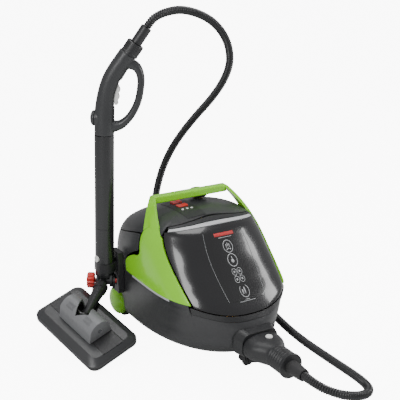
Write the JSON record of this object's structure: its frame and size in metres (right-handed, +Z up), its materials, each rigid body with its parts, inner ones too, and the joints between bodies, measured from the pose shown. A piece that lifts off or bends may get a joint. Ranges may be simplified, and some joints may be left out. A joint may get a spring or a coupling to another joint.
{
  "type": "steam cleaner",
  "caption": "Canister steam cleaner with a carry handle, a parked wand with steam gun and floor brush, and a plugged-in steam hose.",
  "frame": {"origin": "on the floor under the middle of the machine with its wand and brush, hose and connector left out", "axes": "+Z up, -Y the front of the machine where the hose plugs in, +X its left-to-right"},
  "size_m": [0.5947, 0.8378, 0.7589],
  "materials": {
    "shell": "fine satin grain",
    "gloss_black": "polished",
    "label": "polished",
    "trim": "satin",
    "light_trim": "satin silver paint",
    "green": "polished",
    "red": "satin",
    "white": "satin",
    "dark_plastic": "fine grain",
    "steel": "brushed",
    "brass": "machined",
    "copper": "drawn tube",
    "rubber": "matt",
    "tyre": "matt",
    "hose": "ribbed satin",
    "tube": "satin",
    "hub_grey": "satin"
  },
  "bodies": {
    "root": {"lower_shell": "shell", "rear_shell": "shell", "dome_cover": "shell", "front_cover": "gloss_black", "front_label": "label", "front_trim": "trim", "light_strip": "light_trim", "black_band": "trim", "side_strips": "light_trim", "wing_left": "green", "wing_right": "green", "carry_handle": "green", "control_panel": "trim", "indicator_lamps": "white", "boiler": "steel", "heater": "copper", "thermostat": "dark_plastic", "steam_valve": "brass", "steam_pipe": "copper", "filler_neck": "brass", "cap_seal": "rubber", "cord_gland": "rubber", "rear_axle": "steel", "socket_housing": "trim", "connector_body": "trim", "connector_sleeve": "rubber", "hose": "hose", "gun_sleeve": "trim", "gun_shell_left": "shell", "gun_shell_right": "shell", "trigger_pin": "steel", "tube_upper": "tube", "tube_lower": "tube", "parking_bracket": "dark_plastic", "tube_clip": "dark_plastic", "elbow": "trim", "elbow_clip": "dark_plastic"},
    "wheel_left": {"wheel_left": "tyre", "wheel_covers_left": "green"},
    "wheel_right": {"wheel_right": "tyre", "wheel_covers_right": "green"},
    "caster": {"caster_fork": "dark_plastic"},
    "caster_wheels": {"caster_wheels": "tyre"},
    "rocker_power": {"rocker_power": "red"},
    "rocker_boiler": {"rocker_boiler": "red"},
    "safety_cap": {"safety_cap": "dark_plastic"},
    "connector_button": {"connector_button": "white"},
    "swivel_collar": {"swivel_collar": "trim"},
    "trigger": {"trigger": "white"},
    "steam_knob": {"steam_knob": "shell"},
    "lock_button": {"lock_button": "white"},
    "lock_knob": {"lock_knob": "red"},
    "head": {"neck": "trim"},
    "brush": {"brush_hub": "hub_grey", "brush_pin": "steel", "brush_cover": "shell", "brush_base": "dark_plastic", "bristle_strips": "rubber"},
    "cloth_clip_left": {"cloth_clip_left": "dark_plastic"},
    "cloth_clip_right": {"cloth_clip_right": "dark_plastic"}
  },
  "joints": [
    {"name": "wheel_left_spin", "type": "hinge", "parent": "root", "child": "wheel_left", "pos_m": [-0.02569, 0.152, 0.042], "axis": [1, 0, 0], "continuous": true},
    {"name": "wheel_right_spin", "type": "hinge", "parent": "root", "child": "wheel_right", "pos_m": [0.23631, 0.152, 0.042], "axis": [1, 0, 0], "continuous": true},
    {"name": "caster_swivel", "type": "hinge", "parent": "root", "child": "caster", "pos_m": [0.10531, -0.206, 0.04], "axis": [0, 0, 1], "continuous": true},
    {"name": "caster_roll", "type": "hinge", "parent": "caster", "child": "caster_wheels", "pos_m": [0.10531, -0.22, 0.013], "axis": [1, 0, 0], "continuous": true},
    {"name": "power_switch", "type": "hinge", "parent": "root", "child": "rocker_power", "pos_m": [0.07531, 0.038, 0.299], "axis": [0, 1, 0], "range_deg": [-8, 8]},
    {"name": "boiler_switch", "type": "hinge", "parent": "root", "child": "rocker_boiler", "pos_m": [0.07531, 0.066, 0.299], "axis": [0, 1, 0], "range_deg": [-8, 8]},
    {"name": "cap_turn", "type": "hinge", "parent": "root", "child": "safety_cap", "pos_m": [0.14731, 0.086, 0.3], "axis": [0, 0, 1], "range_deg": [0, 360]},
    {"name": "connector_press", "type": "slide", "parent": "root", "child": "connector_button", "axis": [0, 0, -1], "range_m": [0, 0.003], "stiffness_N_per_m": 400},
    {"name": "hose_swivel", "type": "hinge", "parent": "root", "child": "swivel_collar", "pos_m": [0.00375, 0.06119, 0.71572], "axis": [0.4912, -0.2905, 0.8211], "continuous": true},
    {"name": "trigger_pull", "type": "hinge", "parent": "root", "child": "trigger", "pos_m": [-0.06065, 0.09928, 0.59501], "axis": [0.509, 0.8607, 0], "range_deg": [0, 8], "stiffness_Nm_per_rad": 0.6},
    {"name": "steam_turn", "type": "hinge", "parent": "root", "child": "steam_knob", "pos_m": [-0.10072, 0.12297, 0.51444], "axis": [-0.8603, 0.5088, 0.0314], "range_deg": [0, 270]},
    {"name": "tube_lock_press", "type": "slide", "parent": "root", "child": "lock_button", "axis": [0.9833, 0.1807, -0.0237], "range_m": [0, 0.0025], "stiffness_N_per_m": 400},
    {"name": "knob_turn", "type": "hinge", "parent": "root", "child": "lock_knob", "pos_m": [-0.0955, 0.11292, 0.11994], "axis": [0.8603, -0.5088, -0.0314], "range_deg": [0, 90]},
    {"name": "elbow_fold", "type": "hinge", "parent": "root", "child": "head", "pos_m": [-0.0955, 0.11292, 0.11994], "axis": [0.8603, -0.5088, -0.0314], "range_deg": [-12, 3]},
    {"name": "brush_tilt", "type": "hinge", "parent": "head", "child": "brush", "pos_m": [-0.19291, 0.00903, 0.0899], "axis": [0.2489, -0.926, -0.2839], "range_deg": [-20, 0]},
    {"name": "cloth_clip_left_open", "type": "hinge", "parent": "brush", "child": "cloth_clip_left", "pos_m": [-0.18443, 0.09262, 0.09944], "axis": [-0.2489, 0.926, 0.2839], "range_deg": [0, 30]},
    {"name": "cloth_clip_right_open", "type": "hinge", "parent": "brush", "child": "cloth_clip_right", "pos_m": [-0.1456, -0.05183, 0.05516], "axis": [-0.2489, 0.926, 0.2839], "range_deg": [0, 30]}
  ]
}
